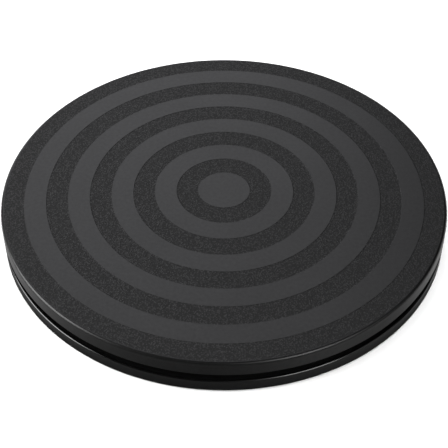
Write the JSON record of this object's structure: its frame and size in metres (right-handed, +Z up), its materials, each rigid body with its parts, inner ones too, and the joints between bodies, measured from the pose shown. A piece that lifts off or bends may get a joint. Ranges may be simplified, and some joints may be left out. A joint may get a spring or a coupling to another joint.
{
  "type": "sculpting turntable",
  "caption": "Low round turntable: a black plastic disc with concentric smooth and grained bands spins on a ring of steel balls over a matching base disc with rubber feet.",
  "frame": {"origin": "on the spin axis, at the table surface under the feet", "axes": "+Z up along the spin axis towards the working face; +X towards the first foot"},
  "size_m": [0.25, 0.25, 0.022],
  "materials": {
    "top_plastic": "black moulded ABS, satin bands between fine-grained bands",
    "base_plastic": "black moulded ABS, satin",
    "race_steel": "pressed steel with a polished groove and a film of grease",
    "ball_steel": "polished bearing steel",
    "cage_plastic": "natural nylon, slightly glossy",
    "plated_steel": "bright zinc plate",
    "washer_nylon": "natural nylon sheet",
    "foot_rubber": "matte black rubber"
  },
  "bodies": {
    "base": {"base_plate": "base_plastic", "lower_race": "race_steel", "foot_pad_1": "foot_rubber", "foot_pad_2": "foot_rubber", "foot_pad_3": "foot_rubber", "foot_pad_4": "foot_rubber", "foot_pad_5": "foot_rubber", "foot_pad_6": "foot_rubber"},
    "top": {"top_plate": "top_plastic", "upper_race": "race_steel", "slide_washer": "washer_nylon", "pivot_washer": "plated_steel", "pivot_screw": "plated_steel"},
    "cage": {"ball_cage": "cage_plastic"},
    "ball_01": {"ball_01": "ball_steel"},
    "ball_02": {"ball_02": "ball_steel"},
    "ball_03": {"ball_03": "ball_steel"},
    "ball_04": {"ball_04": "ball_steel"},
    "ball_05": {"ball_05": "ball_steel"},
    "ball_06": {"ball_06": "ball_steel"},
    "ball_07": {"ball_07": "ball_steel"},
    "ball_08": {"ball_08": "ball_steel"},
    "ball_09": {"ball_09": "ball_steel"},
    "ball_10": {"ball_10": "ball_steel"},
    "ball_11": {"ball_11": "ball_steel"},
    "ball_12": {"ball_12": "ball_steel"},
    "ball_13": {"ball_13": "ball_steel"},
    "ball_14": {"ball_14": "ball_steel"},
    "ball_15": {"ball_15": "ball_steel"},
    "ball_16": {"ball_16": "ball_steel"},
    "ball_17": {"ball_17": "ball_steel"},
    "ball_18": {"ball_18": "ball_steel"},
    "ball_19": {"ball_19": "ball_steel"},
    "ball_20": {"ball_20": "ball_steel"},
    "ball_21": {"ball_21": "ball_steel"},
    "ball_22": {"ball_22": "ball_steel"},
    "ball_23": {"ball_23": "ball_steel"},
    "ball_24": {"ball_24": "ball_steel"}
  },
  "joints": [
    {"name": "top_spin", "type": "hinge", "parent": "base", "child": "top", "pos_m": [0, 0, 0.0127], "axis": [0, 0, 1], "continuous": true},
    {"name": "cage_spin", "type": "hinge", "parent": "base", "child": "cage", "pos_m": [0, 0, 0.01065], "axis": [0, 0, 1], "continuous": true},
    {"name": "ball_01_roll", "type": "hinge", "parent": "cage", "child": "ball_01", "pos_m": [0.07932, 0.01044, 0.01065], "axis": [0.9914, 0.1305, 0], "continuous": true},
    {"name": "ball_02_roll", "type": "hinge", "parent": "cage", "child": "ball_02", "pos_m": [0.07391, 0.03061, 0.01065], "axis": [0.9239, 0.3827, 0], "continuous": true},
    {"name": "ball_03_roll", "type": "hinge", "parent": "cage", "child": "ball_03", "pos_m": [0.06347, 0.0487, 0.01065], "axis": [0.7934, 0.6088, 0], "continuous": true},
    {"name": "ball_04_roll", "type": "hinge", "parent": "cage", "child": "ball_04", "pos_m": [0.0487, 0.06347, 0.01065], "axis": [0.6088, 0.7934, 0], "continuous": true},
    {"name": "ball_05_roll", "type": "hinge", "parent": "cage", "child": "ball_05", "pos_m": [0.03061, 0.07391, 0.01065], "axis": [0.3827, 0.9239, 0], "continuous": true},
    {"name": "ball_06_roll", "type": "hinge", "parent": "cage", "child": "ball_06", "pos_m": [0.01044, 0.07932, 0.01065], "axis": [0.1305, 0.9914, 0], "continuous": true},
    {"name": "ball_07_roll", "type": "hinge", "parent": "cage", "child": "ball_07", "pos_m": [-0.01044, 0.07932, 0.01065], "axis": [-0.1305, 0.9914, 0], "continuous": true},
    {"name": "ball_08_roll", "type": "hinge", "parent": "cage", "child": "ball_08", "pos_m": [-0.03061, 0.07391, 0.01065], "axis": [-0.3827, 0.9239, 0], "continuous": true},
    {"name": "ball_09_roll", "type": "hinge", "parent": "cage", "child": "ball_09", "pos_m": [-0.0487, 0.06347, 0.01065], "axis": [-0.6088, 0.7934, 0], "continuous": true},
    {"name": "ball_10_roll", "type": "hinge", "parent": "cage", "child": "ball_10", "pos_m": [-0.06347, 0.0487, 0.01065], "axis": [-0.7934, 0.6088, 0], "continuous": true},
    {"name": "ball_11_roll", "type": "hinge", "parent": "cage", "child": "ball_11", "pos_m": [-0.07391, 0.03061, 0.01065], "axis": [-0.9239, 0.3827, 0], "continuous": true},
    {"name": "ball_12_roll", "type": "hinge", "parent": "cage", "child": "ball_12", "pos_m": [-0.07932, 0.01044, 0.01065], "axis": [-0.9914, 0.1305, 0], "continuous": true},
    {"name": "ball_13_roll", "type": "hinge", "parent": "cage", "child": "ball_13", "pos_m": [-0.07932, -0.01044, 0.01065], "axis": [-0.9914, -0.1305, 0], "continuous": true},
    {"name": "ball_14_roll", "type": "hinge", "parent": "cage", "child": "ball_14", "pos_m": [-0.07391, -0.03061, 0.01065], "axis": [-0.9239, -0.3827, 0], "continuous": true},
    {"name": "ball_15_roll", "type": "hinge", "parent": "cage", "child": "ball_15", "pos_m": [-0.06347, -0.0487, 0.01065], "axis": [-0.7934, -0.6088, 0], "continuous": true},
    {"name": "ball_16_roll", "type": "hinge", "parent": "cage", "child": "ball_16", "pos_m": [-0.0487, -0.06347, 0.01065], "axis": [-0.6088, -0.7934, 0], "continuous": true},
    {"name": "ball_17_roll", "type": "hinge", "parent": "cage", "child": "ball_17", "pos_m": [-0.03061, -0.07391, 0.01065], "axis": [-0.3827, -0.9239, 0], "continuous": true},
    {"name": "ball_18_roll", "type": "hinge", "parent": "cage", "child": "ball_18", "pos_m": [-0.01044, -0.07932, 0.01065], "axis": [-0.1305, -0.9914, 0], "continuous": true},
    {"name": "ball_19_roll", "type": "hinge", "parent": "cage", "child": "ball_19", "pos_m": [0.01044, -0.07932, 0.01065], "axis": [0.1305, -0.9914, 0], "continuous": true},
    {"name": "ball_20_roll", "type": "hinge", "parent": "cage", "child": "ball_20", "pos_m": [0.03061, -0.07391, 0.01065], "axis": [0.3827, -0.9239, 0], "continuous": true},
    {"name": "ball_21_roll", "type": "hinge", "parent": "cage", "child": "ball_21", "pos_m": [0.0487, -0.06347, 0.01065], "axis": [0.6088, -0.7934, 0], "continuous": true},
    {"name": "ball_22_roll", "type": "hinge", "parent": "cage", "child": "ball_22", "pos_m": [0.06347, -0.0487, 0.01065], "axis": [0.7934, -0.6088, 0], "continuous": true},
    {"name": "ball_23_roll", "type": "hinge", "parent": "cage", "child": "ball_23", "pos_m": [0.07391, -0.03061, 0.01065], "axis": [0.9239, -0.3827, 0], "continuous": true},
    {"name": "ball_24_roll", "type": "hinge", "parent": "cage", "child": "ball_24", "pos_m": [0.07932, -0.01044, 0.01065], "axis": [0.9914, -0.1305, 0], "continuous": true}
  ],
  "couplings": [
    {"joint": "cage_spin", "follows": "top_spin", "ratio": 0.5},
    {"joint": "ball_01_roll", "follows": "top_spin", "ratio": -13.333},
    {"joint": "ball_02_roll", "follows": "top_spin", "ratio": -13.333},
    {"joint": "ball_03_roll", "follows": "top_spin", "ratio": -13.333},
    {"joint": "ball_04_roll", "follows": "top_spin", "ratio": -13.333},
    {"joint": "ball_05_roll", "follows": "top_spin", "ratio": -13.333},
    {"joint": "ball_06_roll", "follows": "top_spin", "ratio": -13.333},
    {"joint": "ball_07_roll", "follows": "top_spin", "ratio": -13.333},
    {"joint": "ball_08_roll", "follows": "top_spin", "ratio": -13.333},
    {"joint": "ball_09_roll", "follows": "top_spin", "ratio": -13.333},
    {"joint": "ball_10_roll", "follows": "top_spin", "ratio": -13.333},
    {"joint": "ball_11_roll", "follows": "top_spin", "ratio": -13.333},
    {"joint": "ball_12_roll", "follows": "top_spin", "ratio": -13.333},
    {"joint": "ball_13_roll", "follows": "top_spin", "ratio": -13.333},
    {"joint": "ball_14_roll", "follows": "top_spin", "ratio": -13.333},
    {"joint": "ball_15_roll", "follows": "top_spin", "ratio": -13.333},
    {"joint": "ball_16_roll", "follows": "top_spin", "ratio": -13.333},
    {"joint": "ball_17_roll", "follows": "top_spin", "ratio": -13.333},
    {"joint": "ball_18_roll", "follows": "top_spin", "ratio": -13.333},
    {"joint": "ball_19_roll", "follows": "top_spin", "ratio": -13.333},
    {"joint": "ball_20_roll", "follows": "top_spin", "ratio": -13.333},
    {"joint": "ball_21_roll", "follows": "top_spin", "ratio": -13.333},
    {"joint": "ball_22_roll", "follows": "top_spin", "ratio": -13.333},
    {"joint": "ball_23_roll", "follows": "top_spin", "ratio": -13.333},
    {"joint": "ball_24_roll", "follows": "top_spin", "ratio": -13.333}
  ]
}
